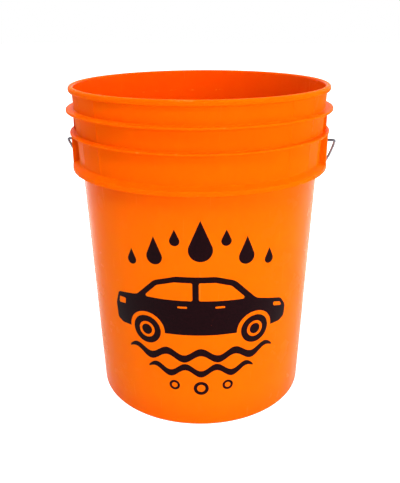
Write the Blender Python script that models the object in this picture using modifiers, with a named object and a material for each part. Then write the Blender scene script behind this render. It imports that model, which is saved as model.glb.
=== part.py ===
"""Open-head wash bucket: tapered moulded pail, steel wire bail and spinning hand grip.

Metres, +Z up. The pail stands on z = 0 with its axis on Z; the bail ears are on the X axis.
"""
import math

import bmesh
import bpy
from mathutils import Matrix

MM = 0.001

# Pail wall and rim: radii are to the outside, heights from the standing face
PAIL_HEIGHT = 385.0
RIM_RADIUS = 151.2
UPPER_TOP_RADIUS = 147.2
UPPER_LOW_RADIUS = 143.4
UPPER_LOW_Z = 293.4
LOWER_TOP_RADIUS = 140.7
BASE_RADIUS = 130.0
BASE_Z = 6.0
MIDDLE_Z = 150.0
WALL = 2.3
LIP_UNDER = 378.6
LIP_INSIDE_Z = 382.4
PAIL_STEPS = 64

# Base: the floor, the foot ring round it and the small ring in the middle of its underside
FLOOR_TOP = 5.6
FLOOR_UNDER = 3.0
FLOOR_ROUND = 4.5
FOOT_INNER = 117.6
FOOT_CORNER = 7.6
GATE_INNER = 59.0
GATE_OUTER = 62.0
GATE_DROP = 1.2
GATE_TAPER = 0.6

# Thin flanges: outer radius, top height, thickness; then edge rounding and root chamfers
FLANGE_1 = (155.2, 359.8, 2.6)
FLANGE_2 = (152.2, 333.7, 2.4)
FLANGE_ROUND = 0.6
ROOT_ABOVE = 1.1
ROOT_BELOW = 0.9

# Bottom flange: a sloping shoulder from the wall down to a round-edged skirt, open below
SHOULDER_TOP = 299.0
SKIRT_RADIUS = 151.8
SKIRT_TOP = 295.4
SKIRT_UNDER = 290.0
SKIRT_ROUND = 1.9
SKIRT_THICK = 2.4
HOLLOW_TOP = 297.0
HOLLOW_INNER = 143.6
STEP_LOW = 287.5
STEP_HIGH = 295.5

# Bail ears
PIVOT_Z = 318.0
EAR_RADIUS = 151.3
EAR_PLATE = 2.4
EAR_HALF_ANGLE = 12.5
EAR_SIDE_PLATE = 2.3
EAR_ROOT = 143.05
EAR_INNER_FACE = 144.6
EAR_SINK = 0.6
EAR_HOLE_RADIUS = 2.2
EAR_HOLE_REACH = 10.0
POCKET_BELOW = 6.0
POCKET_ROOF = 0.5
GUSSET_ANGLE = 7.0
GUSSET_ROOT = 144.5
GUSSET_RADIUS = 148.8
GUSSET_THICK = 2.2

# Wire bail
WIRE_RADIUS = 1.5
TAIL_X = 146.75
TAIL_LENGTH = 6.5
BEND_RADIUS = 3.0
LEG_X = 161.2
BOW_EASE = 1.11
BAIL_DEPTH = 200.0
GRIP_SPAN = 50.0
BAIL_REST_ANGLE = 47.8

# Hand grip, measured from its middle or in from its ends
GRIP_LENGTH = 92.0
GRIP_RADIUS = 11.0
GRIP_END_RADIUS = 10.2
GRIP_BORE = 2.0
GRIP_EDGE = 0.8
GRIP_COLLAR = 4.0
GRIP_WAIST = 14.0
GRIP_SWELL = 26.0
GRIP_SOCKET = 7.4
GRIP_SOCKET_DEPTH = 14.0
GRIP_SOCKET_TAPER = 0.5
GRIP_COLLAR_SLOPE = 1.4
GRIP_STEPS = 36

# Base colour, roughness, metallic
ORANGE = ((0.89, 0.15, 0.006), 0.3, 0.0)
GALVANISED = ((0.45, 0.45, 0.47), 0.4, 1.0)
BLACK = ((0.03, 0.03, 0.032), 0.5, 0.0)


def clear_scene():
    for item in list(bpy.data.objects):
        bpy.data.objects.remove(item, do_unlink=True)


def new_collection(name):
    group = bpy.data.collections.new(name)
    bpy.context.scene.collection.children.link(group)
    return group


def new_material(name, colour, roughness, metallic):
    material = bpy.data.materials.new(name)
    material.use_nodes = True
    shader = material.node_tree.nodes["Principled BSDF"]
    shader.inputs["Base Color"].default_value = (*colour, 1.0)
    shader.inputs["Roughness"].default_value = roughness
    shader.inputs["Metallic"].default_value = metallic
    material.diffuse_color = (*colour, 1.0)
    return material


def object_from_mesh(name, mesh, group):
    item = bpy.data.objects.new(name, mesh)
    group.objects.link(item)
    return item


def arc(centre_r, centre_z, radius, start, end, count):
    """Points on a circle in the profile plane; angles in degrees from the outward direction."""
    points = []
    for index in range(count + 1):
        angle = math.radians(start + (end - start) * index / count)
        points.append((centre_r + radius * math.cos(angle), centre_z + radius * math.sin(angle)))
    return points


def revolve(name, profile, steps, group, closed):
    mesh = bpy.data.meshes.new(name)
    verts = [(radius * MM, 0.0, height * MM) for radius, height in profile]
    edges = [(index, index + 1) for index in range(len(verts) - 1)]
    if closed:
        edges.append((len(verts) - 1, 0))
    mesh.from_pydata(verts, edges, [])
    item = object_from_mesh(name, mesh, group)
    screw = item.modifiers.new("Turn", "SCREW")
    screw.axis = "Z"
    screw.angle = math.tau
    screw.steps = steps
    screw.render_steps = steps
    screw.use_merge_vertices = True
    screw.merge_threshold = 0.00005
    screw.use_smooth_shade = True
    return item


def sector(name, inner, outer, half_angle, middle, low, high, group, count=10):
    """A block between two radii, two heights and plus or minus an angle about a direction."""
    mesh = bpy.data.meshes.new(name)
    shape = bmesh.new()
    outline = []
    for radius, order in ((outer, 1), (inner, -1)):
        for index in range(count + 1):
            angle = math.radians(middle + order * half_angle * (2.0 * index / count - 1.0))
            point = (radius * MM * math.cos(angle), radius * MM * math.sin(angle), low * MM)
            outline.append(shape.verts.new(point))
    face = shape.faces.new(outline)
    lifted = bmesh.ops.extrude_face_region(shape, geom=[face])
    moved = [part for part in lifted["geom"] if isinstance(part, bmesh.types.BMVert)]
    bmesh.ops.translate(shape, vec=(0.0, 0.0, (high - low) * MM), verts=moved)
    bmesh.ops.recalc_face_normals(shape, faces=shape.faces)
    shape.to_mesh(mesh)
    shape.free()
    return object_from_mesh(name, mesh, group)


def box(name, size, centre, turn, group):
    mesh = bpy.data.meshes.new(name)
    shape = bmesh.new()
    bmesh.ops.create_cube(shape, size=1.0)
    place = Matrix.Rotation(math.radians(turn), 4, "Z") @ Matrix.Translation(
        [value * MM for value in centre]
    )
    stretch = Matrix.Diagonal([value * MM for value in size]).to_4x4()
    bmesh.ops.transform(shape, matrix=place @ stretch, verts=shape.verts)
    shape.to_mesh(mesh)
    shape.free()
    return object_from_mesh(name, mesh, group)


def rod(name, radius, length, centre, group, segments=24):
    """A cylinder along X."""
    mesh = bpy.data.meshes.new(name)
    shape = bmesh.new()
    bmesh.ops.create_cone(
        shape,
        cap_ends=True,
        segments=segments,
        radius1=radius * MM,
        radius2=radius * MM,
        depth=length * MM,
    )
    turn = Matrix.Rotation(math.radians(90.0), 4, "Y")
    place = Matrix.Translation([value * MM for value in centre])
    bmesh.ops.transform(shape, matrix=place @ turn, verts=shape.verts)
    shape.to_mesh(mesh)
    shape.free()
    return object_from_mesh(name, mesh, group)


def combine(target, tool, operation):
    step = target.modifiers.new(tool.name, "BOOLEAN")
    step.operation = operation
    step.solver = "EXACT"
    step.object = tool
    tool.hide_render = True
    tool.display_type = "WIRE"


def lower_radius(height):
    """Outer radius of the plain tapered wall below the bottom flange."""
    slope = (LOWER_TOP_RADIUS - BASE_RADIUS) / (SKIRT_UNDER - BASE_Z)
    return BASE_RADIUS + slope * (height - BASE_Z)


def upper_radius(height):
    """Outer radius of the wall from the bottom flange up to the rim."""
    slope = (UPPER_TOP_RADIUS - UPPER_LOW_RADIUS) / (LIP_UNDER - UPPER_LOW_Z)
    return UPPER_LOW_RADIUS + slope * (height - UPPER_LOW_Z)


def inside_profile():
    """From the middle of the floor up the inside wall."""
    corner = BASE_RADIUS - WALL - FLOOR_ROUND + 0.3
    points = [(0.0, FLOOR_TOP), (GATE_OUTER, FLOOR_TOP)]
    points += arc(corner, FLOOR_TOP + FLOOR_ROUND, FLOOR_ROUND, -90.0, -4.0, 3)
    for height in (MIDDLE_Z, STEP_LOW):
        points.append((lower_radius(height) - WALL, height))
    for height in (STEP_HIGH, FLANGE_2[1], LIP_INSIDE_Z):
        points.append((upper_radius(height) - WALL, height))
    return points


def rim_profile():
    """Over the rim bead and back under it to the wall."""
    inner, outer, under = 3.0, 3.2, 2.4
    start = upper_radius(LIP_INSIDE_Z) - WALL
    points = arc(start + inner, PAIL_HEIGHT - inner, inner, 172.0, 90.0, 3)
    points += arc(RIM_RADIUS - outer, PAIL_HEIGHT - outer, outer, 82.0, 0.0, 3)
    points += arc(RIM_RADIUS - under, LIP_UNDER + under, under, 0.0, -90.0, 3)
    points.append((UPPER_TOP_RADIUS + 0.7, LIP_UNDER))
    points.append((UPPER_TOP_RADIUS, LIP_UNDER - 0.8))
    return points


def flange_profile(flange):
    """A thin flange with its root chamfers, from above it to below it."""
    radius, top, thick = flange
    under = top - thick
    points = [(upper_radius(top + ROOT_ABOVE), top + ROOT_ABOVE)]
    points.append((upper_radius(top) + ROOT_ABOVE, top))
    points += arc(radius - FLANGE_ROUND, top - FLANGE_ROUND, FLANGE_ROUND, 90.0, 0.0, 2)
    points += arc(radius - FLANGE_ROUND, under + FLANGE_ROUND, FLANGE_ROUND, 0.0, -90.0, 2)
    points.append((upper_radius(under) + ROOT_BELOW, under))
    points.append((upper_radius(under - ROOT_BELOW), under - ROOT_BELOW))
    return points


def skirt_profile():
    """Down the bottom flange's shoulder, round its skirt, and up into the hollow behind it."""
    edge = SKIRT_RADIUS - SKIRT_ROUND
    hollow_outer = SKIRT_RADIUS - SKIRT_THICK
    points = [(upper_radius(SHOULDER_TOP) + 0.04, SHOULDER_TOP + 0.9)]
    points.append((upper_radius(SHOULDER_TOP) + 0.9, SHOULDER_TOP - 0.4))
    points += arc(edge, SKIRT_TOP - 1.6, SKIRT_ROUND, 58.0, 0.0, 3)
    points += arc(edge, SKIRT_UNDER + SKIRT_ROUND, SKIRT_ROUND, 0.0, -90.0, 3)
    points.append((hollow_outer, SKIRT_UNDER))
    points.append((hollow_outer - 0.2, HOLLOW_TOP - 3.0))
    points.append((HOLLOW_INNER, HOLLOW_TOP))
    points.append((HOLLOW_INNER - 0.3, HOLLOW_TOP - 2.5))
    points.append((lower_radius(STEP_LOW + 1.0), STEP_LOW + 1.0))
    return points


def foot_profile():
    """Round the foot's corner and along the underside to the middle."""
    corner = BASE_RADIUS - FOOT_CORNER
    points = arc(corner, FOOT_CORNER, FOOT_CORNER, 0.0, -90.0, 4)
    points.append((FOOT_INNER, 0.0))
    points.append((FOOT_INNER - 1.2, FLOOR_UNDER))
    points.append((GATE_OUTER, FLOOR_UNDER))
    points.append((GATE_OUTER - GATE_TAPER, FLOOR_UNDER - GATE_DROP))
    points.append((GATE_INNER + GATE_TAPER, FLOOR_UNDER - GATE_DROP))
    points.append((GATE_INNER, FLOOR_UNDER))
    points.append((0.0, FLOOR_UNDER))
    return points


def pail_profile():
    points = inside_profile() + rim_profile()
    points += flange_profile(FLANGE_1) + flange_profile(FLANGE_2) + skirt_profile()
    points.append((lower_radius(MIDDLE_Z), MIDDLE_Z))
    return points + foot_profile()


def build_pail(group, tools):
    pail = revolve("pail_body", pail_profile(), PAIL_STEPS, group, closed=False)
    ear_low = SKIRT_TOP - EAR_SINK
    ear_high = FLANGE_2[1] - FLANGE_2[2] / 2
    rib_low = FLANGE_2[1] - FLANGE_2[2] / 2
    rib_high = FLANGE_1[1] - FLANGE_1[2] / 2
    rib_size = (GUSSET_RADIUS - GUSSET_ROOT, GUSSET_THICK, rib_high - rib_low)
    rib_centre = ((GUSSET_RADIUS + GUSSET_ROOT) / 2, 0.0, (rib_high + rib_low) / 2)
    pocket_angle = EAR_HALF_ANGLE - math.degrees(EAR_SIDE_PLATE / EAR_RADIUS)
    for side, middle in (("right", 0.0), ("left", 180.0)):
        ear = sector(
            f"ear_{side}", EAR_ROOT, EAR_RADIUS, EAR_HALF_ANGLE, middle, ear_low, ear_high, tools
        )
        combine(pail, ear, "UNION")
        for name, turn in (("a", -1.0), ("b", 1.0)):
            angle = middle + turn * GUSSET_ANGLE
            rib = box(f"gusset_{side}_{name}", rib_size, rib_centre, angle, tools)
            combine(pail, rib, "UNION")
    for side, middle in (("right", 0.0), ("left", 180.0)):
        pocket = sector(
            f"pocket_{side}",
            EAR_INNER_FACE,
            EAR_RADIUS - EAR_PLATE,
            pocket_angle,
            middle,
            SKIRT_UNDER - POCKET_BELOW,
            FLANGE_2[1] - FLANGE_2[2] - POCKET_ROOF,
            tools,
        )
        combine(pail, pocket, "DIFFERENCE")
        reach = EAR_RADIUS if side == "right" else -EAR_RADIUS
        place = (reach, 0.0, PIVOT_Z)
        hole = rod(f"hole_{side}", EAR_HOLE_RADIUS, EAR_HOLE_REACH, place, tools)
        combine(pail, hole, "DIFFERENCE")
    return pail


def bail_half():
    """Right half of the wire's centre line: x, and depth below the pivot axis."""
    points = [(TAIL_X, -TAIL_LENGTH)]
    turns = 5
    for index in range(turns + 1):
        angle = math.radians(90.0 * index / turns)
        points.append(
            (
                TAIL_X + BEND_RADIUS - BEND_RADIUS * math.cos(angle),
                -BEND_RADIUS + BEND_RADIUS * math.sin(angle),
            )
        )
    for index in range(turns + 1):
        angle = math.radians(90.0 * index / turns)
        points.append(
            (
                LEG_X - BEND_RADIUS + BEND_RADIUS * math.sin(angle),
                BEND_RADIUS - BEND_RADIUS * math.cos(angle),
            )
        )
    bow = 16
    for index in range(1, bow + 1):
        angle = math.radians(90.0 * index / bow)
        points.append(
            (
                GRIP_SPAN + (LEG_X - GRIP_SPAN) * math.cos(angle),
                BEND_RADIUS + (BAIL_DEPTH - BEND_RADIUS) * math.sin(angle) ** BOW_EASE,
            )
        )
    return points


def build_bail(group):
    half = bail_half()
    path = half + [(-x, depth) for x, depth in reversed(half)]
    lean = math.radians(BAIL_REST_ANGLE)
    curve = bpy.data.curves.new("bail_path", "CURVE")
    curve.dimensions = "3D"
    curve.bevel_depth = WIRE_RADIUS * MM
    curve.bevel_resolution = 2
    curve.use_fill_caps = True
    spline = curve.splines.new("POLY")
    spline.points.add(len(path) - 1)
    for point, (x, depth) in zip(spline.points, path):
        back = depth * math.sin(lean)
        down = depth * math.cos(lean)
        point.co = (x * MM, back * MM, -down * MM, 1.0)
    sketch = bpy.data.objects.new("bail_sketch", curve)
    group.objects.link(sketch)
    bpy.context.view_layer.update()
    graph = bpy.context.evaluated_depsgraph_get()
    mesh = bpy.data.meshes.new_from_object(sketch.evaluated_get(graph))
    bpy.data.objects.remove(sketch, do_unlink=True)
    shape = bmesh.new()
    shape.from_mesh(mesh)
    bmesh.ops.remove_doubles(shape, verts=shape.verts, dist=0.00001)
    bmesh.ops.recalc_face_normals(shape, faces=shape.faces)
    shape.to_mesh(mesh)
    shape.free()
    mesh.name = "bail_wire"
    bail = object_from_mesh("bail_wire", mesh, group)
    bail.location = (0.0, 0.0, PIVOT_Z * MM)
    return bail


def build_grip(group):
    half = GRIP_LENGTH / 2
    socket = half - GRIP_SOCKET_DEPTH
    outside = [
        (GRIP_SOCKET, half),
        (GRIP_RADIUS - GRIP_EDGE, half),
        (GRIP_RADIUS, half - GRIP_EDGE),
        (GRIP_RADIUS, half - GRIP_COLLAR),
        (GRIP_END_RADIUS, half - GRIP_COLLAR - GRIP_COLLAR_SLOPE),
        (GRIP_END_RADIUS, half - GRIP_WAIST),
        (GRIP_RADIUS, half - GRIP_SWELL),
    ]
    outside += [(radius, -along) for radius, along in reversed(outside)]
    bore = [
        (GRIP_SOCKET - GRIP_SOCKET_TAPER, -socket),
        (GRIP_BORE, -socket),
        (GRIP_BORE, socket),
        (GRIP_SOCKET - GRIP_SOCKET_TAPER, socket),
    ]
    profile = outside + bore
    grip = revolve("bail_grip", profile, GRIP_STEPS, group, closed=True)
    lean = math.radians(BAIL_REST_ANGLE)
    grip.rotation_euler = (0.0, math.radians(90.0), 0.0)
    grip.location = (
        0.0,
        BAIL_DEPTH * math.sin(lean) * MM,
        (PIVOT_Z - BAIL_DEPTH * math.cos(lean)) * MM,
    )
    return grip


def main():
    clear_scene()
    parts = new_collection("wash_bucket")
    tools = new_collection("cutters")
    pail = build_pail(parts, tools)
    bail = build_bail(parts)
    grip = build_grip(parts)
    pail.data.materials.append(new_material("orange_moulding", *ORANGE))
    bail.data.materials.append(new_material("galvanised_wire", *GALVANISED))
    grip.data.materials.append(new_material("grip_plastic", *BLACK))
    bpy.context.view_layer.update()


main()
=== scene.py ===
"""Wash bucket: the detailed visual model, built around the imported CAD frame."""
import math

import bmesh
import bpy
from mathutils import Matrix, Vector


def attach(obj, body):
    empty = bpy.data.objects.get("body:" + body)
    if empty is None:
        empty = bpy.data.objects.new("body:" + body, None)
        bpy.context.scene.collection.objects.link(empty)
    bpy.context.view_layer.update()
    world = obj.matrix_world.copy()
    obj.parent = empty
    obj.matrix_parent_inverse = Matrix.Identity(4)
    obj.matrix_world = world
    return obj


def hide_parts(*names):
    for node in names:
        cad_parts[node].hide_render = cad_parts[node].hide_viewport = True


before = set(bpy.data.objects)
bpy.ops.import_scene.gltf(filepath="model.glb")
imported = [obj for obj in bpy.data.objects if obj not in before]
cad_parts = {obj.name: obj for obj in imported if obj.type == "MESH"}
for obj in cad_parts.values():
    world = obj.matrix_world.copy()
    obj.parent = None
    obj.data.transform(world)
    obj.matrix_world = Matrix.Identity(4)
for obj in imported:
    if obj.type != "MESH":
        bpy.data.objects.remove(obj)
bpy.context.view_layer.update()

MM = 0.001

# Pail, in millimetres, as the CAD model has it: radii are to the outside
WALL = 2.3
BASE_RADIUS = 130.0
BASE_Z = 6.0
MIDDLE_Z = 150.0
LOWER_TOP_RADIUS = 140.7
UPPER_LOW_RADIUS = 143.4
UPPER_LOW_Z = 293.4
UPPER_TOP_RADIUS = 147.2
RIM_RADIUS = 151.2
LIP_UNDER = 378.6
HEIGHT = 385.0
RIM_INNER_FILLET = 2.7
RIM_OUTER_FILLET = 3.7
RIM_UNDER_FILLET = 2.9
SEGMENTS = 256

# Thin flanges: outer radius, top height, thickness; then their fillets
FLANGE_1 = (155.2, 359.8, 2.6)
FLANGE_2 = (152.2, 333.7, 2.4)
FLANGE_FILLET = 0.7
ROOT_FILLET_ABOVE = 0.9
ROOT_FILLET_BELOW = 0.8

# Bottom flange: its sloping shoulder and skirt, the hollow behind the skirt, the inside step
SHOULDER_TOP = 299.0
SHOULDER_FILLET = 2.0
SKIRT_RADIUS = 151.8
SKIRT_TOP = 295.4
SKIRT_UNDER = 290.0
SKIRT_FILLET = 0.9
SKIRT_DRAFT = 0.3
HOLLOW_OUTER = 149.3
HOLLOW_TOP = 296.7
HOLLOW_INNER = 143.7
HOLLOW_FOOT = 288.0
STEP_LOW = 287.5
STEP_HIGH = 295.5
STEP_TOP = 340.0
STEP_FILLET = 8.0

# Base: the floor, the foot ring, the small ring under the middle and the pip above it
FLOOR_TOP = 5.6
FLOOR_UNDER = 3.0
FLOOR_FILLET = 5.0
FLOOR_MID_RADIUS = 100.0
FOOT_INNER = 117.6
FOOT_CORNER = 7.6
FOOT_FILLET = 0.6
FOOT_DRAFT = 1.2
GATE_INNER = 59.0
GATE_OUTER = 62.0
GATE_TAPER = 0.6
GATE_DROP = 1.2
PIP_INNER = 4.0
PIP_OUTER = 8.0
PIP_TAPER = 0.6
PIP_RISE = 0.5
RING_FILLET = 0.3

# Witness lines of the mould's side cores: how far round from each ear, how proud, the half widths
# of their crest and foot in degrees, and their heights
WITNESS_ANGLES = (math.radians(31.5), math.radians(46.0))
WITNESS_RISE = 0.3
WITNESS_CREST = 0.25
WITNESS_FOOT = 0.45
WITNESS_LOW = 289.0
WITNESS_HIGH = 378.0

# Ears, bail and grip
PIVOT_Z = 318.0
EAR_RADIUS = 151.3
EAR_PLATE = 2.4
EAR_HALF_ANGLE = 12.5
EAR_ROOT = 143.05
EAR_INNER_FACE = 144.6
EAR_FILLET = 1.1
EAR_SINK = 0.6
EAR_HOLE_RADIUS = 2.2
EAR_HOLE_REACH = 10.0
POCKET_MARGIN = 0.87
POCKET_FILLET = 1.0
POCKET_BELOW = 6.0
POCKET_ROOF = 0.5
GUSSET_ANGLE = 7.0
GUSSET_ROOT = 144.5
GUSSET_RADIUS = 148.8
GUSSET_THICK = 2.2
WIRE_RADIUS = 1.5
WIRE_SIDES = 20
TAIL_X = 146.75
TAIL_LENGTH = 6.5
BEND_RADIUS = 3.0
LEG_X = 161.19
BOW_EASE = 1.11
BAIL_DEPTH = 200.0
GRIP_SPAN = 50.0
GRIP_LENGTH = 92.0
GRIP_RADIUS = 11.0
GRIP_END_RADIUS = 10.2
GRIP_BORE = 2.0
GRIP_COLLAR = 4.4
GRIP_COLLAR_END = 5.4
GRIP_WAIST = 13.0
GRIP_SWELL = 26.0
GRIP_SOCKET = 7.4
GRIP_SOCKET_FLOOR = 6.9
GRIP_SOCKET_DEPTH = 14.0
GRIP_SEGMENTS = 96
GROOVE_COUNT = 5
GROOVE_PITCH = 4.0
GROOVE_DEPTH = 0.6
GROOVE_MOUTH = 0.9
GROOVE_FLOOR = 0.45
BAIL_REST_ANGLE = math.radians(47.8)

# The print faces the camera, a little off the line half way between the ears. It is drawn flat,
# then wrapped round the wall; the ink stands proud of the wall and is rooted just inside it
PRINT_AZIMUTH = math.radians(-86.2)
PRINT_Z = 160.0
PRINT_RADIUS = 136.0
CAR_DROP = 36.0
INK_RISE = 0.12
INK_ROOT = -0.25
INK_STRIP = 3.0

# Studio: the floor's own glow and the backdrop's light, in front of the pail and behind it, with
# the distances in Y, or the share of the sky, over which one passes into the other
FLOOR_SIZE = 8.0
FLOOR_ALBEDO = 0.3
FLOOR_GLOW_FRONT = 0.75
FLOOR_GLOW_BACK = 1.9
FLOOR_GLOW_FAR = 0.1
FLOOR_SEEN = 1.2
FLOOR_NEAR = (0.0, 0.4)
FLOOR_AWAY = (0.95, 1.4)
WORLD_FRONT = 0.29
WORLD_BACK = 1.6
WORLD_BLEND = (-0.25, 0.35)

# Name, place, target, size (metres), power (watts)
LIGHTS = (
    ("key", (1.3, -1.7, 0.75), (0.0, 0.0, 0.2), (1.2, 0.9), 42.0),
    ("high_front", (0.0, -1.5, 2.4), (0.0, 0.0, 0.3), (1.0, 0.8), 37.5),
    ("top", (0.0, -0.4, 2.4), (0.0, 0.0, 0.3), (1.2, 1.2), 7.0),
    ("back_top", (0.0, 1.3, 2.1), (0.0, 0.0, 0.3), (1.2, 0.8), 12.0),
)

# Camera, from the photograph's geometry: metres, and millimetres for the lens and sensor
CAMERA_DISTANCE = 0.7362
CAMERA_HEIGHT = 0.4661
CAMERA_SIDE = -0.00037
CAMERA_YAW = math.radians(3.8)
CAMERA_PITCH = math.radians(20.84)
CAMERA_ROLL = math.radians(-0.363)
CAMERA_LENS = 45.79
CAMERA_SENSOR = 36.0


# ---------------------------------------------------------------- mesh tools


def new_object(name, mesh):
    item = bpy.data.objects.new(name, mesh)
    bpy.context.scene.collection.objects.link(item)
    return item


def filleted(corners, closed=False, step=math.radians(13.0)):
    """A polyline through corners (a, b, radius), with each corner rounded by its radius."""
    points = []
    count = len(corners)
    for index, (a, b, radius) in enumerate(corners):
        here = Vector((a, b))
        ends = not closed and index in (0, count - 1)
        if ends or radius <= 0.0:
            points.append(here)
            continue
        before = Vector(corners[index - 1][:2]) - here
        after = Vector(corners[(index + 1) % count][:2]) - here
        opening = before.angle(after)
        turn = math.pi - opening
        if turn < 0.01:
            points.append(here)
            continue
        reach = radius * math.tan(turn / 2)
        limit = 0.49 * min(before.length, after.length)
        if reach > limit:
            radius *= limit / reach
            reach = limit
        start = here + before.normalized() * reach
        finish = here + after.normalized() * reach
        bisector = (before.normalized() + after.normalized()).normalized()
        centre = here + bisector * (radius / math.sin(opening / 2))
        steps = max(2, math.ceil(turn / step))
        first = start - centre
        last = finish - centre
        for part in range(steps + 1):
            share = part / steps
            weight_a = math.sin((1 - share) * turn) / math.sin(turn)
            weight_b = math.sin(share * turn) / math.sin(turn)
            points.append(centre + first * weight_a + last * weight_b)
    return [(point.x, point.y) for point in points]


def even_angles(count):
    return [math.tau * index / count for index in range(count)]


def lathe(name, profile, angles, closed=False, swell=None):
    """A turned mesh about Z from (radius, height) in millimetres, one column at each angle.

    swell gives how far a column's point stands out from the profile.
    """
    shape = bmesh.new()
    rings = []
    segments = len(angles)
    for radius, height in profile:
        if radius < 1e-6:
            rings.append([shape.verts.new((0.0, 0.0, height * MM))])
            continue
        ring = []
        for index, angle in enumerate(angles):
            reach = radius + (swell(index, radius, height) if swell else 0.0)
            point = (reach * MM * math.cos(angle), reach * MM * math.sin(angle), height * MM)
            ring.append(shape.verts.new(point))
        rings.append(ring)
    pairs = list(zip(rings, rings[1:]))
    if closed:
        pairs.append((rings[-1], rings[0]))
    for upper, lower in pairs:
        for index in range(segments):
            follow = (index + 1) % segments
            corners = [
                upper[index % len(upper)],
                lower[index % len(lower)],
                lower[follow % len(lower)],
                upper[follow % len(upper)],
            ]
            unique = list(dict.fromkeys(corners))
            shape.faces.new(unique)
    bmesh.ops.recalc_face_normals(shape, faces=shape.faces)
    mesh = bpy.data.meshes.new(name)
    shape.to_mesh(mesh)
    shape.free()
    return mesh


def prism(name, outline, low, high):
    """A flat outline (x, y) in millimetres, extruded from low to high."""
    shape = bmesh.new()
    bottom = [shape.verts.new((x * MM, y * MM, low * MM)) for x, y in outline]
    top = [shape.verts.new((x * MM, y * MM, high * MM)) for x, y in outline]
    shape.faces.new(bottom[::-1])
    shape.faces.new(top)
    count = len(outline)
    for index in range(count):
        follow = (index + 1) % count
        shape.faces.new((bottom[index], bottom[follow], top[follow], top[index]))
    bmesh.ops.recalc_face_normals(shape, faces=shape.faces)
    mesh = bpy.data.meshes.new(name)
    shape.to_mesh(mesh)
    shape.free()
    return mesh


def sector_outline(inner, outer, half_angle, middle, fillet, count=14):
    """A block of a ring about an angle, its two outer corners rounded; degrees and millimetres."""
    corners = []
    for index in range(count + 1):
        angle = math.radians(middle + half_angle * (2.0 * index / count - 1.0))
        radius = fillet if index in (0, count) else 0.0
        corners.append((outer * math.cos(angle), outer * math.sin(angle), radius))
    for index in range(count + 1):
        angle = math.radians(middle - half_angle * (2.0 * index / count - 1.0))
        corners.append((inner * math.cos(angle), inner * math.sin(angle), 0.0))
    return filleted(corners, closed=True)


def bake_modifiers(item):
    """Replaces an object's mesh with its evaluated one."""
    bpy.context.view_layer.update()
    graph = bpy.context.evaluated_depsgraph_get()
    mesh = bpy.data.meshes.new_from_object(item.evaluated_get(graph))
    item.modifiers.clear()
    item.data = mesh


def boolean(item, meshes, operation):
    """Cuts or joins plain meshes into an object, one after another."""
    tools = []
    for mesh in meshes:
        tool = new_object(mesh.name, mesh)
        step = item.modifiers.new(mesh.name, "BOOLEAN")
        step.operation = operation
        step.solver = "EXACT"
        step.object = tool
        tools.append(tool)
    bake_modifiers(item)
    for tool in tools:
        bpy.data.objects.remove(tool, do_unlink=True)


def smooth(mesh, angle=32.0):
    mesh.shade_smooth()
    mesh.set_sharp_from_angle(angle=math.radians(angle))


def tube(name, path, radius, sides, plane_normal):
    """A round wire along a flat path, with rounded ends; metres."""
    shape = bmesh.new()
    normal = plane_normal.normalized()
    stations = []
    count = len(path)
    for index, point in enumerate(path):
        before = path[max(index - 1, 0)]
        after = path[min(index + 1, count - 1)]
        stations.append((point, (after - before).normalized(), 1.0))
    cap = [(0.35, 0.94), (0.7, 0.72), (0.95, 0.32)]
    start, start_way, _ = stations[0]
    end, end_way, _ = stations[-1]
    first = start + start_way * radius
    last = end - end_way * radius
    head = [(first - start_way * radius * reach, start_way, width) for reach, width in cap]
    tail = [(last + end_way * radius * reach, end_way, width) for reach, width in cap]
    inner = [(first, start_way, 1.0)] + stations[1:-1] + [(last, end_way, 1.0)]
    stations = head[::-1] + inner + tail
    rings = []
    for point, way, width in stations:
        side = normal.cross(way).normalized()
        ring = []
        for index in range(sides):
            angle = math.tau * index / sides
            offset = (normal * math.cos(angle) + side * math.sin(angle)) * radius * width
            ring.append(shape.verts.new(point + offset))
        rings.append(ring)
    for upper, lower in zip(rings, rings[1:]):
        for index in range(sides):
            follow = (index + 1) % sides
            shape.faces.new((upper[index], lower[index], lower[follow], upper[follow]))
    shape.faces.new(rings[0])
    shape.faces.new(rings[-1])
    bmesh.ops.recalc_face_normals(shape, faces=shape.faces)
    mesh = bpy.data.meshes.new(name)
    shape.to_mesh(mesh)
    shape.free()
    return mesh


# ---------------------------------------------------------------- the pail


def lower_radius(height):
    """Outer radius of the plain tapered wall below the bottom flange."""
    slope = (LOWER_TOP_RADIUS - BASE_RADIUS) / (SKIRT_UNDER - BASE_Z)
    return BASE_RADIUS + slope * (height - BASE_Z)


def upper_radius(height):
    """Outer radius of the wall from the bottom flange up to the rim."""
    slope = (UPPER_TOP_RADIUS - UPPER_LOW_RADIUS) / (LIP_UNDER - UPPER_LOW_Z)
    return UPPER_LOW_RADIUS + slope * (height - UPPER_LOW_Z)


def flange_corners(flange):
    radius, top, thick = flange
    under = top - thick
    return [
        (upper_radius(top), top, ROOT_FILLET_ABOVE),
        (radius, top, FLANGE_FILLET),
        (radius, under, FLANGE_FILLET),
        (upper_radius(under), under, ROOT_FILLET_BELOW),
    ]


def ring_corners(outer, inner, taper, level, height):
    """A small moulded ring standing on, or hanging from, a flat face; from outside to inside."""
    return [
        (outer, level, RING_FILLET),
        (outer - taper, level + height, RING_FILLET),
        (inner + taper, level + height, RING_FILLET),
        (inner, level, RING_FILLET),
    ]


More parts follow.
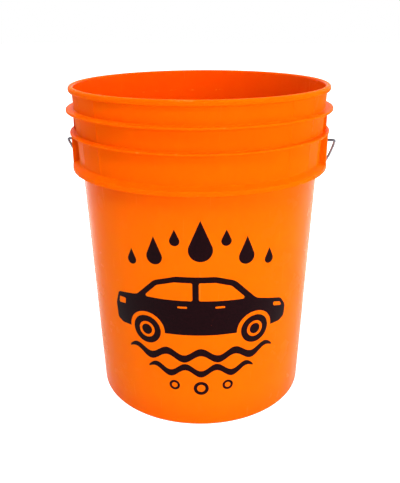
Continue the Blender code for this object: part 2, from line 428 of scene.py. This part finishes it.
def pail_profile():
    """The wall's section: up the inside from the floor, over the rim, down the outside, under."""
    inside = [
        (0.0, FLOOR_TOP, 0.0),
        *ring_corners(PIP_OUTER, PIP_INNER, PIP_TAPER, FLOOR_TOP, PIP_RISE)[::-1],
        (FLOOR_MID_RADIUS, FLOOR_TOP, 0.0),
        (lower_radius(FLOOR_TOP) - WALL, FLOOR_TOP, FLOOR_FILLET),
        (lower_radius(MIDDLE_Z) - WALL, MIDDLE_Z, 0.0),
        (lower_radius(STEP_LOW) - WALL, STEP_LOW, STEP_FILLET),
        (upper_radius(STEP_HIGH) - WALL, STEP_HIGH, STEP_FILLET),
        (upper_radius(STEP_TOP) - WALL, STEP_TOP, 0.0),
    ]
    rim = [
        (upper_radius(HEIGHT) - WALL, HEIGHT, RIM_INNER_FILLET),
        (RIM_RADIUS, HEIGHT, RIM_OUTER_FILLET),
        (RIM_RADIUS, LIP_UNDER, RIM_UNDER_FILLET),
        (UPPER_TOP_RADIUS, LIP_UNDER, FLANGE_FILLET),
    ]
    skirt = [
        (upper_radius(SHOULDER_TOP), SHOULDER_TOP, SHOULDER_FILLET),
        (SKIRT_RADIUS - SKIRT_DRAFT, SKIRT_TOP, SKIRT_FILLET),
        (SKIRT_RADIUS, SKIRT_UNDER, SKIRT_FILLET),
        (HOLLOW_OUTER, SKIRT_UNDER, 0.5),
        (HOLLOW_OUTER - 0.2, HOLLOW_TOP - 2.9, 0.8),
        (HOLLOW_INNER, HOLLOW_TOP, 0.6),
        (HOLLOW_INNER - 0.5, HOLLOW_TOP - 2.7, 0.8),
        (lower_radius(HOLLOW_FOOT), HOLLOW_FOOT, 1.5),
    ]
    base = [
        (lower_radius(MIDDLE_Z), MIDDLE_Z, 0.0),
        (BASE_RADIUS - 0.2, 0.0, FOOT_CORNER),
        (FOOT_INNER, 0.0, FOOT_FILLET),
        (FOOT_INNER - FOOT_DRAFT, FLOOR_UNDER, FOOT_FILLET),
        *ring_corners(GATE_OUTER, GATE_INNER, GATE_TAPER, FLOOR_UNDER, -GATE_DROP),
        (0.0, FLOOR_UNDER, 0.0),
    ]
    flanges = flange_corners(FLANGE_1) + flange_corners(FLANGE_2)
    return filleted(inside + rim + flanges + skirt + base)


def turned_box(name, size, centre, degrees):
    """A small box with its length along the radius, turned about Z; millimetres."""
    half_x, half_y = size[0] / 2, size[1] / 2
    outline = []
    angle = math.radians(degrees)
    for x, y in ((-half_x, -half_y), (half_x, -half_y), (half_x, half_y), (-half_x, half_y)):
        along, across = centre[0] + x, centre[1] + y
        outline.append(
            (
                along * math.cos(angle) - across * math.sin(angle),
                along * math.sin(angle) + across * math.cos(angle),
            )
        )
    return prism(name, outline, centre[2] - size[2] / 2, centre[2] + size[2] / 2)


def drilled_rod(name, radius, length, centre, segments=32):
    """A cylinder along X, for cutting the ear's hole."""
    shape = bmesh.new()
    bmesh.ops.create_cone(
        shape,
        cap_ends=True,
        segments=segments,
        radius1=radius * MM,
        radius2=radius * MM,
        depth=length * MM,
    )
    place = Matrix.Translation([value * MM for value in centre])
    turn = Matrix.Rotation(math.radians(90.0), 4, "Y")
    bmesh.ops.transform(shape, matrix=place @ turn, verts=shape.verts)
    mesh = bpy.data.meshes.new(name)
    shape.to_mesh(mesh)
    shape.free()
    return mesh


def pail_columns():
    """The pail's column angles, and which of them stand on a witness line."""
    angles = [(angle, False) for angle in even_angles(SEGMENTS)]
    spacing = math.tau / SEGMENTS
    for ear in (0.0, math.pi):
        for turn in [sign * angle for angle in WITNESS_ANGLES for sign in (-1.0, 1.0)]:
            middle = (ear + turn) % math.tau
            angles = [entry for entry in angles if abs(entry[0] - middle) > 0.45 * spacing]
            for sign in (-1.0, 1.0):
                angles.append((middle + math.radians(sign * WITNESS_FOOT), False))
                angles.append((middle + math.radians(sign * WITNESS_CREST), True))
    angles.sort()
    return [angle for angle, raised in angles], [raised for angle, raised in angles]


def build_pail():
    angles, raised = pail_columns()

    def swell(index, radius, height):
        outside = radius > upper_radius(height) - 0.5 * WALL
        proud = raised[index] and outside and WITNESS_LOW < height < WITNESS_HIGH
        return WITNESS_RISE if proud else 0.0

    mesh = lathe("pail_shell", pail_profile(), angles, swell=swell)
    pail = new_object("pail_shell", mesh)
    joins = []
    cuts = []
    ear_low = SKIRT_TOP - EAR_SINK
    ear_high = FLANGE_2[1] - FLANGE_2[2] / 2
    rib_low = ear_high
    rib_high = FLANGE_1[1] - FLANGE_1[2] / 2
    rib_size = (GUSSET_RADIUS - GUSSET_ROOT, GUSSET_THICK, rib_high - rib_low)
    rib_centre = ((GUSSET_RADIUS + GUSSET_ROOT) / 2, 0.0, (rib_high + rib_low) / 2)
    for side, middle in (("right", 0.0), ("left", 180.0)):
        outline = sector_outline(EAR_ROOT, EAR_RADIUS, EAR_HALF_ANGLE, middle, EAR_FILLET)
        joins.append(prism(f"ear_{side}", outline, ear_low, ear_high))
        for turn in (-1.0, 1.0):
            degrees = middle + turn * GUSSET_ANGLE
            joins.append(turned_box(f"gusset_{side}_{turn:.0f}", rib_size, rib_centre, degrees))
        pocket = sector_outline(
            EAR_INNER_FACE,
            EAR_RADIUS - EAR_PLATE,
            EAR_HALF_ANGLE - POCKET_MARGIN,
            middle,
            POCKET_FILLET,
        )
        low = SKIRT_UNDER - POCKET_BELOW
        high = FLANGE_2[1] - FLANGE_2[2] - POCKET_ROOF
        cuts.append(prism(f"pocket_{side}", pocket, low, high))
        centre = (EAR_RADIUS if side == "right" else -EAR_RADIUS, 0.0, PIVOT_Z)
        cuts.append(drilled_rod(f"hole_{side}", EAR_HOLE_RADIUS, EAR_HOLE_REACH, centre))
    boolean(pail, joins, "UNION")
    boolean(pail, cuts, "DIFFERENCE")
    pail.data.name = "pail_shell"
    smooth(pail.data)
    return pail


# ---------------------------------------------------------------- the print


def ink_disc(x, y, radius, steps=40):
    return [
        (x + radius * math.cos(math.tau * k / steps), y + radius * math.sin(math.tau * k / steps))
        for k in range(steps)
    ]


def ink_drop(x, y, radius, height, steps=40):
    """A water drop: a round belly at (x, y), running up to a point."""
    points = []
    lean = math.acos(radius / height)
    for index in range(steps + 1):
        angle = math.pi / 2 + lean + (math.tau - 2 * lean) * index / steps
        points.append((x + radius * math.cos(angle), y + radius * math.sin(angle)))
    points.append((x, y + height))
    return points


def ink_wave(x0, x1, y, rise, waves, thick, steps=110):
    """A ribbon that follows a sine, thin at both ends."""
    upper = []
    lower = []
    for index in range(steps + 1):
        share = index / steps
        x = x0 + (x1 - x0) * share
        mid = y + rise * math.sin(math.tau * waves * share)
        half = 0.5 * thick * min(1.0, 7.0 * share + 0.1, 7.0 * (1 - share) + 0.1) ** 0.6
        upper.append((x, mid + half))
        lower.append((x, mid - half))
    return upper + lower[::-1]


def arc_points(x, y, radius, start, finish, steps=16):
    """Points on an arc from one angle to another, in degrees."""
    points = []
    for index in range(steps + 1):
        angle = math.radians(start + (finish - start) * index / steps)
        points.append((x + radius * math.cos(angle), y + radius * math.sin(angle)))
    return points


def car_shapes():
    """A plain saloon car seen from the side, 220 mm long, its sill at 0."""
    wheel_x, wheel_y, arch = 64.0, 2.0, 22.5
    roof = [
        (101.0, 1.0, 5.0),
        (109.0, 5.0, 5.0),
        (110.0, 19.0, 8.0),
        (101.0, 31.0, 12.0),
        (64.0, 41.0, 16.0),
        (38.0, 67.0, 18.0),
        (17.0, 73.0, 20.0),
        (-27.0, 73.0, 20.0),
        (-52.0, 66.0, 16.0),
        (-75.0, 44.0, 12.0),
        (-103.0, 40.0, 5.0),
        (-109.0, 24.0, 8.0),
        (-108.0, 5.0, 5.0),
        (-100.0, 1.0, 4.0),
    ]
    dip = math.degrees(math.asin((wheel_y - 1.0) / arch))
    under = []
    for x in (-wheel_x, wheel_x):
        under.extend(arc_points(x, wheel_y, arch, 180.0 + dip, -dip, 24))
    body = filleted(roof + [(x, y, 0.0) for x, y in under], closed=True)
    rear_glass = [
        (-66.0, 44.0, 2.0),
        (-49.0, 60.5, 8.0),
        (-29.0, 66.0, 8.0),
        (-9.0, 66.0, 2.0),
        (-9.0, 44.0, 2.0),
    ]
    front_glass = [
        (-2.0, 44.0, 2.0),
        (-2.0, 66.0, 2.0),
        (16.0, 66.0, 10.0),
        (34.0, 61.0, 8.0),
        (52.0, 43.0, 2.0),
    ]
    lamp = [(90.0, 24.0, 2.0), (88.0, 29.5, 2.0), (100.0, 26.0, 2.0), (104.0, 20.0, 2.0)]
    tail = [(-103.5, 26.0, 1.5), (-102.0, 34.0, 1.5), (-92.0, 34.5, 1.5), (-93.0, 27.0, 1.5)]
    handle = [(-26.0, 34.5, 1.1), (-26.0, 37.0, 1.1), (-15.0, 37.0, 1.1), (-15.0, 34.5, 1.1)]
    holes = [filleted(points, True) for points in (rear_glass, front_glass, lamp, tail, handle)]
    holes.append([(x + 42.0, y) for x, y in filleted(handle, True)])
    shapes = [(body, holes)]
    for x in (-wheel_x, wheel_x):
        shapes.append((ink_disc(x, wheel_y, 17.5, 56), [ink_disc(x, wheel_y, 10.0)]))
        shapes.append((ink_disc(x, wheel_y, 6.5), []))
    return shapes


def print_shapes():
    """Filled outlines and holes in millimetres on the unrolled wall, centred on the print."""
    shapes = []
    for outline, holes in car_shapes():
        shapes.append((shifted(outline, CAR_DROP), [shifted(hole, CAR_DROP) for hole in holes]))
    for x, y, radius in ((0.0, 68.0, 13.0), (-50.0, 58.0, 9.0), (50.0, 58.0, 9.0)):
        shapes.append((ink_drop(x, y, radius, radius * 2.6), []))
    for x, y in ((-27.0, 78.0), (27.0, 78.0), (-78.0, 50.0), (78.0, 50.0)):
        shapes.append((ink_drop(x, y, 5.5, 5.5 * 2.4), []))
    for half_width, y, waves, thick in ((90.0, -62.0, 4.5, 9.5), (64.0, -82.0, 3.5, 8.5)):
        shapes.append((ink_wave(-half_width, half_width, y, 4.6, waves, thick), []))
    for x, y, radius in ((-32.0, -103.0, 6.5), (0.0, -106.0, 9.0), (32.0, -103.0, 6.5)):
        shapes.append((ink_disc(x, y, radius), [ink_disc(x, y, radius * 0.55)]))
    return shapes


def shifted(points, down):
    return [(x, y - down) for x, y in points]


def flat_fill(name, outline, holes):
    """A filled flat mesh with holes, cut into narrow upright strips so that it can be wrapped."""
    curve = bpy.data.curves.new(name, "CURVE")
    curve.dimensions = "2D"
    curve.fill_mode = "BOTH"
    for loop in [outline, *holes]:
        spline = curve.splines.new("POLY")
        spline.points.add(len(loop) - 1)
        for point, (x, y) in zip(spline.points, loop):
            point.co = (x, y, 0.0, 1.0)
        spline.use_cyclic_u = True
    sketch = new_object(name, curve)
    bpy.context.view_layer.update()
    graph = bpy.context.evaluated_depsgraph_get()
    mesh = bpy.data.meshes.new_from_object(sketch.evaluated_get(graph))
    bpy.data.objects.remove(sketch, do_unlink=True)
    shape = bmesh.new()
    shape.from_mesh(mesh)
    bpy.data.meshes.remove(mesh)
    bmesh.ops.remove_doubles(shape, verts=shape.verts, dist=0.0001)
    low = min(vert.co.x for vert in shape.verts)
    high = max(vert.co.x for vert in shape.verts)
    cut = math.floor(low / INK_STRIP) * INK_STRIP + INK_STRIP
    while cut < high:
        geometry = [*shape.verts, *shape.edges, *shape.faces]
        bmesh.ops.bisect_plane(
            shape, geom=geometry, dist=0.0001, plane_co=(cut, 0.0, 0.0), plane_no=(1.0, 0.0, 0.0)
        )
        cut += INK_STRIP
    return shape


def build_print():
    whole = bmesh.new()
    for number, (outline, holes) in enumerate(print_shapes()):
        shape = flat_fill(f"ink_{number}", outline, holes)
        lifted = bmesh.ops.extrude_face_region(shape, geom=list(shape.faces))
        for part in lifted["geom"]:
            if isinstance(part, bmesh.types.BMVert):
                part.co.z = 1.0
        piece = bpy.data.meshes.new("ink_piece")
        shape.to_mesh(piece)
        shape.free()
        whole.from_mesh(piece)
        bpy.data.meshes.remove(piece)
    for vert in whole.verts:
        height = PRINT_Z + vert.co.y
        rise = INK_RISE if vert.co.z > 0.5 else INK_ROOT
        radius = lower_radius(height) + rise
        angle = PRINT_AZIMUTH + vert.co.x / PRINT_RADIUS
        vert.co = (radius * MM * math.cos(angle), radius * MM * math.sin(angle), height * MM)
    bmesh.ops.recalc_face_normals(whole, faces=whole.faces)
    mesh = bpy.data.meshes.new("pail_print")
    whole.to_mesh(mesh)
    whole.free()
    smooth(mesh)
    return new_object("pail_print", mesh)


# ---------------------------------------------------------------- bail and grip


def bail_half():
    """Right half of the wire's centre line in millimetres: x, and depth below the pivot."""
    points = [(TAIL_X, -TAIL_LENGTH)]
    turns = 10
    for index in range(turns + 1):
        angle = math.radians(90.0 * index / turns)
        points.append(
            (
                TAIL_X + BEND_RADIUS - BEND_RADIUS * math.cos(angle),
                -BEND_RADIUS + BEND_RADIUS * math.sin(angle),
            )
        )
    for index in range(turns + 1):
        angle = math.radians(90.0 * index / turns)
        points.append(
            (
                LEG_X - BEND_RADIUS + BEND_RADIUS * math.sin(angle),
                BEND_RADIUS - BEND_RADIUS * math.cos(angle),
            )
        )
    bow = 48
    for index in range(1, bow + 1):
        angle = math.radians(90.0 * index / bow)
        points.append(
            (
                GRIP_SPAN + (LEG_X - GRIP_SPAN) * math.cos(angle),
                BEND_RADIUS + (BAIL_DEPTH - BEND_RADIUS) * math.sin(angle) ** BOW_EASE,
            )
        )
    for part in range(1, 5):
        points.append((GRIP_SPAN * (1 - part / 5), BAIL_DEPTH))
    return points


def build_bail():
    half = bail_half()
    flat = half + [(-x, depth) for x, depth in reversed(half)]
    back, down = math.sin(BAIL_REST_ANGLE), math.cos(BAIL_REST_ANGLE)
    path = []
    for x, depth in flat:
        path.append(Vector((x, depth * back, PIVOT_Z - depth * down)) * MM)
    normal = Vector((0.0, down, back))
    mesh = tube("bail_bow", path, WIRE_RADIUS * MM, WIRE_SIDES, normal)
    smooth(mesh, 50.0)
    return new_object("bail_bow", mesh)


def grip_profile():
    """The barrel's section as (radius, place along the wire): outside, then back through the bore."""
    half = GRIP_LENGTH / 2
    socket = half - GRIP_SOCKET_DEPTH
    end = [
        (GRIP_SOCKET, half, 0.5),
        (GRIP_RADIUS, half, 1.0),
        (GRIP_RADIUS, half - GRIP_COLLAR, 0.8),
        (GRIP_END_RADIUS, half - GRIP_COLLAR_END, 0.8),
        (GRIP_END_RADIUS, half - GRIP_WAIST, 8.0),
        (GRIP_RADIUS, half - GRIP_SWELL, 8.0),
    ]
    corners = list(end)
    for number in range(GROOVE_COUNT):
        level = GROOVE_PITCH * ((GROOVE_COUNT - 1) / 2 - number)
        corners.append((GRIP_RADIUS, level + GROOVE_MOUTH, 0.3))
        corners.append((GRIP_RADIUS - GROOVE_DEPTH, level + GROOVE_FLOOR, 0.25))
        corners.append((GRIP_RADIUS - GROOVE_DEPTH, level - GROOVE_FLOOR, 0.25))
        corners.append((GRIP_RADIUS, level - GROOVE_MOUTH, 0.3))
    corners += [(radius, -along, fillet) for radius, along, fillet in reversed(end)]
    corners += [
        (GRIP_SOCKET_FLOOR, -socket, 0.6),
        (GRIP_BORE, -socket, 0.3),
        (GRIP_BORE, socket, 0.3),
        (GRIP_SOCKET_FLOOR, socket, 0.6),
    ]
    return filleted(corners, closed=True)


def build_grip():
    mesh = lathe("hand_grip", grip_profile(), even_angles(GRIP_SEGMENTS), closed=True)
    place = Vector(
        (
            0.0,
            BAIL_DEPTH * math.sin(BAIL_REST_ANGLE) * MM,
            (PIVOT_Z - BAIL_DEPTH * math.cos(BAIL_REST_ANGLE)) * MM,
        )
    )
    turn = Matrix.Rotation(math.radians(90.0), 4, "Y")
    mesh.transform(Matrix.Translation(place) @ turn)
    smooth(mesh)
    return new_object("hand_grip", mesh)


# ---------------------------------------------------------------- materials


class Nodes:
    """A short way to build a material's node tree."""

    def __init__(self, name):
        self.material = bpy.data.materials.new(name)
        self.material.use_nodes = True
        self.tree = self.material.node_tree
        self.shader = self.tree.nodes["Principled BSDF"]
        self.place = self.add("ShaderNodeTexCoord").outputs["Object"]

    def add(self, kind, **values):
        node = self.tree.nodes.new(kind)
        for key, value in values.items():
            setattr(node, key, value)
        return node

    def link(self, source, target):
        self.tree.links.new(source, target)

    def mapped(self, scale):
        node = self.add("ShaderNodeMapping")
        self.link(self.place, node.inputs["Vector"])
        node.inputs["Scale"].default_value = scale
        return node.outputs["Vector"]

    def noise(self, scale, detail=2.0, rough=0.5, stretch=None):
        node = self.add("ShaderNodeTexNoise")
        self.link(self.mapped(stretch) if stretch else self.place, node.inputs["Vector"])
        node.inputs["Scale"].default_value = scale
        node.inputs["Detail"].default_value = detail
        node.inputs["Roughness"].default_value = rough
        return node.outputs["Fac"]

    def ramp(self, source, low, high, to_low=0.0, to_high=1.0):
        node = self.add("ShaderNodeMapRange", interpolation_type="SMOOTHSTEP")
        self.link(source, node.inputs["Value"])
        for key, value in (
            ("From Min", low),
            ("From Max", high),
            ("To Min", to_low),
            ("To Max", to_high),
        ):
            node.inputs[key].default_value = value
        return node.outputs["Result"]

    def math(self, operation, a, b):
        node = self.add("ShaderNodeMath", operation=operation)
        for socket, value in zip(node.inputs, (a, b)):
            if isinstance(value, (int, float)):
                socket.default_value = value
            else:
                self.link(value, socket)
        return node.outputs["Value"]

    def mix(self, amount, a, b):
        node = self.add("ShaderNodeMix", data_type="RGBA")
        if isinstance(amount, (int, float)):
            node.inputs["Factor"].default_value = amount
        else:
            self.link(amount, node.inputs["Factor"])
        for key, value in (("A", a), ("B", b)):
            socket = next(s for s in node.inputs if s.name == key and s.type == "RGBA")
            if isinstance(value, tuple):
                socket.default_value = (*value, 1.0)
            else:
                self.link(value, socket)
        return next(s for s in node.outputs if s.type == "RGBA")

    def bump(self, height, strength, distance, under=None):
        node = self.add("ShaderNodeBump")
        node.inputs["Strength"].default_value = strength
        node.inputs["Distance"].default_value = distance
        self.link(height, node.inputs["Height"])
        if under is not None:
            self.link(under, node.inputs["Normal"])
        return node.outputs["Normal"]

    def set(self, **values):
        for key, value in values.items():
            socket = self.shader.inputs[key.replace("_", " ")]
            if isinstance(value, (int, float)):
                socket.default_value = value
            elif isinstance(value, tuple):
                socket.default_value = (*value, 1.0) if socket.type == "RGBA" else value
            else:
                self.link(value, socket)
        return self.material


# Orange shades: plain, cloud, flow mark, and the lower wall's painted light (a lighter orange)
OUTSIDE_SHADES = (
    (0.77, 0.095, 0.0003),
    (0.785, 0.102, 0.0004),
    (0.79, 0.108, 0.0005),
    (0.78, 0.128, 0.0005),
)
# Inside shades: the same orange made darker, painted shade for the inside of the pail
INSIDE_PAINTED_SHADE = (
    (0.73, 0.064, 0.0003),
    (0.74, 0.069, 0.0004),
    (0.75, 0.073, 0.0004),
    (0.75, 0.073, 0.0004),
)
WORN_ORANGE = (1.0, 0.30, 0.05)

# Name, shades and specular level of the pail's finishes: its plain wall, inside (a darker copy that
# paints the inside's shade), flanged band
PLAIN, INSIDE, FLANGED = range(3)
FINISHES = (
    ("orange_moulding", OUTSIDE_SHADES, 0.014),
    ("orange_inside_painted_shade", INSIDE_PAINTED_SHADE, 0.014),
    ("orange_flanged", OUTSIDE_SHADES, 0.002),
)

# Edges that rub, at the rim, the three flanges and the foot: middle height and half depth
RUBBED_EDGES = (
    (HEIGHT - 0.4, 0.9),
    (FLANGE_1[1] - FLANGE_1[2] / 2, 0.9),
    (FLANGE_2[1] - FLANGE_2[2] / 2, 0.9),
    (SKIRT_UNDER + 1.4, 0.9),
    (0.0, 3.0),
)

# Painted light on the lower wall fades out over these heights, and weakens over these places in X;
# metres
PAINTED_LIGHT_FADE_TOP = (0.215, 0.305)
PAINTED_LIGHT_FADE_FOOT = (0.002, 0.045)
PAINTED_LIGHT_FADE_SIDE = (-0.14, 0.14)


def height_band(nodes, centre, half):
    """1 inside a thin band of heights, falling to 0 outside; millimetres."""
    split = nodes.add("ShaderNodeSeparateXYZ")
    nodes.link(nodes.place, split.inputs["Vector"])
    above = nodes.math("SUBTRACT", split.outputs["Z"], centre * MM)
    offset = nodes.math("ABSOLUTE", above, 0.0)
    return nodes.ramp(offset, half * MM, half * 1.6 * MM, 1.0, 0.0)


def lower_wall_painted_light(nodes):
    """Mask of painted light: 1 on the plain wall under the bottom flange, more on the -X side; 0 at
    the foot.
    """
    split = nodes.add("ShaderNodeSeparateXYZ")
    nodes.link(nodes.place, split.inputs["Vector"])
    below = nodes.ramp(split.outputs["Z"], *PAINTED_LIGHT_FADE_TOP, 1.0, 0.0)
    above = nodes.ramp(split.outputs["Z"], *PAINTED_LIGHT_FADE_FOOT)
    side = nodes.ramp(split.outputs["X"], *PAINTED_LIGHT_FADE_SIDE, 1.0, 0.55)
    return nodes.math("MULTIPLY", nodes.math("MULTIPLY", below, above), side)


def orange_material(name, shades, gloss):
    """Gloss orange plastic, clouded and streaked by its flow into the mould, lightly worn; painted
    light makes the lower wall a lighter orange.
    """
    nodes = Nodes(name)
    cloud = nodes.ramp(nodes.noise(7.0, 3.0), 0.3, 0.7)
    flow = nodes.ramp(nodes.noise(10.0, 3.0, 0.6, (4.0, 4.0, 0.5)), 0.35, 0.7)
    colour = nodes.mix(cloud, shades[0], shades[1])
    colour = nodes.mix(nodes.math("MULTIPLY", flow, 0.35), colour, shades[2])
    # painted light: the lower wall is mixed to a lighter orange, more on the -X side
    colour = nodes.mix(lower_wall_painted_light(nodes), colour, shades[3])
    edge = height_band(nodes, *RUBBED_EDGES[0])
    for band in RUBBED_EDGES[1:]:
        edge = nodes.math("MAXIMUM", edge, height_band(nodes, *band))
    rub = nodes.math("MULTIPLY", edge, nodes.ramp(nodes.noise(90.0, 4.0, 0.7), 0.56, 0.7))
    scratch = nodes.ramp(nodes.noise(260.0, 2.0, 0.6, (1.0, 1.0, 0.035)), 0.69, 0.74)
    scratch = nodes.math("MULTIPLY", scratch, 0.25)
    wear = nodes.math("MAXIMUM", scratch, nodes.math("MULTIPLY", rub, 0.6))
    colour = nodes.mix(nodes.math("MULTIPLY", wear, 0.35), colour, WORN_ORANGE)
    rough = nodes.ramp(nodes.noise(35.0, 4.0, 0.6), 0.3, 0.75, 0.2, 0.3)
    rough = nodes.math("ADD", rough, nodes.math("MULTIPLY", wear, 0.25))
    sink = nodes.noise(14.0, 2.0, 0.5, (1.0, 1.0, 0.35))
    peel = nodes.noise(900.0, 2.0)
    normal = nodes.bump(sink, 0.25, 0.002)
    normal = nodes.bump(peel, 0.06, 0.0002, normal)
    normal = nodes.bump(wear, 0.12, 0.0001, normal)
    return nodes.set(
        Base_Color=colour,
        Roughness=rough,
        IOR=1.5,
        Specular_IOR_Level=gloss,
        Subsurface_Weight=0.35,
        Subsurface_Radius=(1.0, 0.25, 0.05),
        Subsurface_Scale=0.003,
        Normal=normal,
    )


def paint_pail(pail):
    """Gives every face its finish, by where it is and which way it faces; inside faces get the darker
    copy, painted shade.
    """
    pail.data.materials.clear()
    for name, shades, gloss in FINISHES:
        pail.data.materials.append(orange_material(name, shades, gloss))
    for face in pail.data.polygons:
        x, y, z = (value / MM for value in face.center)
        radius = math.hypot(x, y)
        wall = upper_radius(z) if z > SKIRT_UNDER else lower_radius(z)
        faces_axis = face.normal.x * x + face.normal.y * y < -0.25 * radius
        faces_up = face.normal.z > 0.5 and z < FLOOR_TOP + 2.4 * FLOOR_FILLET
        if radius < wall - 0.5 * WALL and z > FLOOR_UNDER and (faces_axis or faces_up):
            # painted shade: the inside faces take the darker orange
            face.material_index = INSIDE
        elif z > WITNESS_LOW:
            face.material_index = FLANGED
        else:
            face.material_index = PLAIN


def ink_material():
    nodes = Nodes("print_ink")
    grain = nodes.ramp(nodes.noise(420.0, 3.0, 0.6), 0.3, 0.75)
    colour = nodes.mix(grain, (0.0055, 0.0006, 0.0013), (0.010, 0.0010, 0.0022))
    pin = nodes.ramp(nodes.noise(700.0, 2.0, 0.5), 0.76, 0.8)
    colour = nodes.mix(nodes.math("MULTIPLY", pin, 0.5), colour, (0.5, 0.07, 0.004))
    rough = nodes.ramp(nodes.noise(60.0, 4.0), 0.3, 0.7, 0.3, 0.42)
    normal = nodes.bump(nodes.noise(1400.0, 2.0), 0.08, 0.0001)
    return nodes.set(
        Base_Color=colour, Roughness=rough, IOR=1.45, Specular_IOR_Level=0.05, Normal=normal
    )


def wire_material():
    nodes = Nodes("galvanised_wire")
    spangle = nodes.ramp(nodes.noise(260.0, 3.0, 0.6), 0.35, 0.7)
    colour = nodes.mix(spangle, (0.13, 0.125, 0.145), (0.25, 0.24, 0.27))
    bloom = nodes.ramp(nodes.noise(70.0, 4.0, 0.7), 0.58, 0.72)
    colour = nodes.mix(nodes.math("MULTIPLY", bloom, 0.5), colour, (0.21, 0.20, 0.20))
    rough = nodes.ramp(nodes.noise(180.0, 3.0), 0.3, 0.7, 0.28, 0.46)
    normal = nodes.bump(nodes.noise(900.0, 3.0, 0.6), 0.15, 0.0001)
    return nodes.set(Base_Color=colour, Roughness=rough, Metallic=1.0, Normal=normal)


def grip_material():
    nodes = Nodes("grip_plastic")
    cloud = nodes.ramp(nodes.noise(40.0, 3.0), 0.3, 0.7)
    colour = nodes.mix(cloud, (0.012, 0.012, 0.013), (0.022, 0.022, 0.023))
    scuff = nodes.ramp(nodes.noise(300.0, 3.0, 0.7, (1.0, 0.3, 0.3)), 0.62, 0.75)
    colour = nodes.mix(nodes.math("MULTIPLY", scuff, 0.35), colour, (0.09, 0.09, 0.092))
    rough = nodes.ramp(nodes.noise(120.0, 4.0), 0.3, 0.7, 0.38, 0.55)
    normal = nodes.bump(nodes.noise(1600.0, 2.0), 0.25, 0.00015)
    return nodes.set(Base_Color=colour, Roughness=rough, IOR=1.48, Normal=normal)


def floor_material():
    """Pale floor that lights the pail from below, more strongly behind it than in front."""
    nodes = Nodes("studio_floor")
    low, high = (FLOOR_ALBEDO - 0.01,) * 3, (FLOOR_ALBEDO + 0.01,) * 3
    tone = nodes.mix(nodes.ramp(nodes.noise(1.5, 2.0), 0.3, 0.7), low, high)
    split = nodes.add("ShaderNodeSeparateXYZ")
    nodes.link(nodes.place, split.inputs["Vector"])
    near = nodes.ramp(split.outputs["Y"], *FLOOR_NEAR, FLOOR_GLOW_FRONT, FLOOR_GLOW_BACK)
    far = nodes.ramp(split.outputs["Y"], *FLOOR_AWAY, 1.0, FLOOR_GLOW_FAR / FLOOR_GLOW_BACK)
    rays = nodes.add("ShaderNodeLightPath")
    seen = nodes.math("MULTIPLY", rays.outputs["Is Camera Ray"], FLOOR_SEEN)
    glow = nodes.math("MAXIMUM", nodes.math("MULTIPLY", near, far), seen)
    return nodes.set(
        Base_Color=tone,
        Roughness=0.9,
        Specular_IOR_Level=0.0,
        Emission_Color=(1.0, 1.0, 1.0),
        Emission_Strength=glow,
    )


# ---------------------------------------------------------------- studio


def area_light(name, place, target, size, power):
    data = bpy.data.lights.new(name, "AREA")
    data.shape = "RECTANGLE"
    data.size, data.size_y = size
    data.energy = power
    item = new_object(name, data)
    item.location = place
    way = Vector(target) - Vector(place)
    item.rotation_mode = "QUATERNION"
    item.rotation_quaternion = way.to_track_quat("-Z", "Y")
    item.visible_glossy = False
    item.visible_camera = False


def build_world():
    """Brighter behind the pail than in front of it; plain white to the camera."""
    world = bpy.data.worlds.new("studio")
    bpy.context.scene.world = world
    world.use_nodes = True
    tree = world.node_tree
    shader = tree.nodes["Background"]
    place = tree.nodes.new("ShaderNodeTexCoord")
    split = tree.nodes.new("ShaderNodeSeparateXYZ")
    tree.links.new(place.outputs["Generated"], split.inputs["Vector"])
    blend = tree.nodes.new("ShaderNodeMapRange")
    blend.interpolation_type = "SMOOTHSTEP"
    tree.links.new(split.outputs["Y"], blend.inputs["Value"])
    blend.inputs["From Min"].default_value, blend.inputs["From Max"].default_value = WORLD_BLEND
    blend.inputs["To Min"].default_value = WORLD_FRONT
    blend.inputs["To Max"].default_value = WORLD_BACK
    seen = tree.nodes.new("ShaderNodeMix")
    rays = tree.nodes.new("ShaderNodeLightPath")
    tree.links.new(rays.outputs["Is Camera Ray"], seen.inputs["Factor"])
    tree.links.new(blend.outputs["Result"], seen.inputs["A"])
    seen.inputs["B"].default_value = 1.0
    shader.inputs["Color"].default_value = (1.0, 1.0, 1.0, 1.0)
    tree.links.new(seen.outputs["Result"], shader.inputs["Strength"])


def build_studio():
    shape = bmesh.new()
    bmesh.ops.create_grid(shape, x_segments=8, y_segments=8, size=FLOOR_SIZE)
    mesh = bpy.data.meshes.new("studio_floor")
    shape.to_mesh(mesh)
    shape.free()
    mesh.materials.append(floor_material())
    floor = new_object("studio_floor", mesh)
    build_world()
    for name, place, target, size, power in LIGHTS:
        area_light(name, place, target, size, power)


def build_camera():
    data = bpy.data.cameras.new("camera")
    data.lens = CAMERA_LENS
    data.sensor_width = CAMERA_SENSOR
    item = new_object("camera", data)
    away = Vector((CAMERA_SIDE, -CAMERA_DISTANCE, 0.0))
    away.rotate(Matrix.Rotation(CAMERA_YAW, 3, "Z"))
    item.location = (away.x, away.y, CAMERA_HEIGHT)
    level = Matrix.Rotation(CAMERA_YAW, 4, "Z") @ Matrix.Rotation(
        math.radians(90.0) - CAMERA_PITCH, 4, "X"
    )
    item.rotation_mode = "QUATERNION"
    item.rotation_quaternion = (level @ Matrix.Rotation(CAMERA_ROLL, 4, "Z")).to_quaternion()
    data.clip_start = 0.05
    data.clip_end = 50.0
    bpy.context.scene.camera = item


def main():
    scene = bpy.context.scene
    scene.view_settings.view_transform = "Standard"
    scene.view_settings.look = "None"

    pail = build_pail()
    paint_pail(pail)
    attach(pail, "pail")
    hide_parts("pail_body")

    ink = build_print()
    ink.data.materials.append(ink_material())
    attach(ink, "pail")

    bail = build_bail()
    bail.data.materials.append(wire_material())
    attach(bail, "bail")
    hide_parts("bail_wire")

    grip = build_grip()
    grip.data.materials.append(grip_material())
    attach(grip, "grip")
    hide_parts("bail_grip")

    build_studio()
    build_camera()


main()
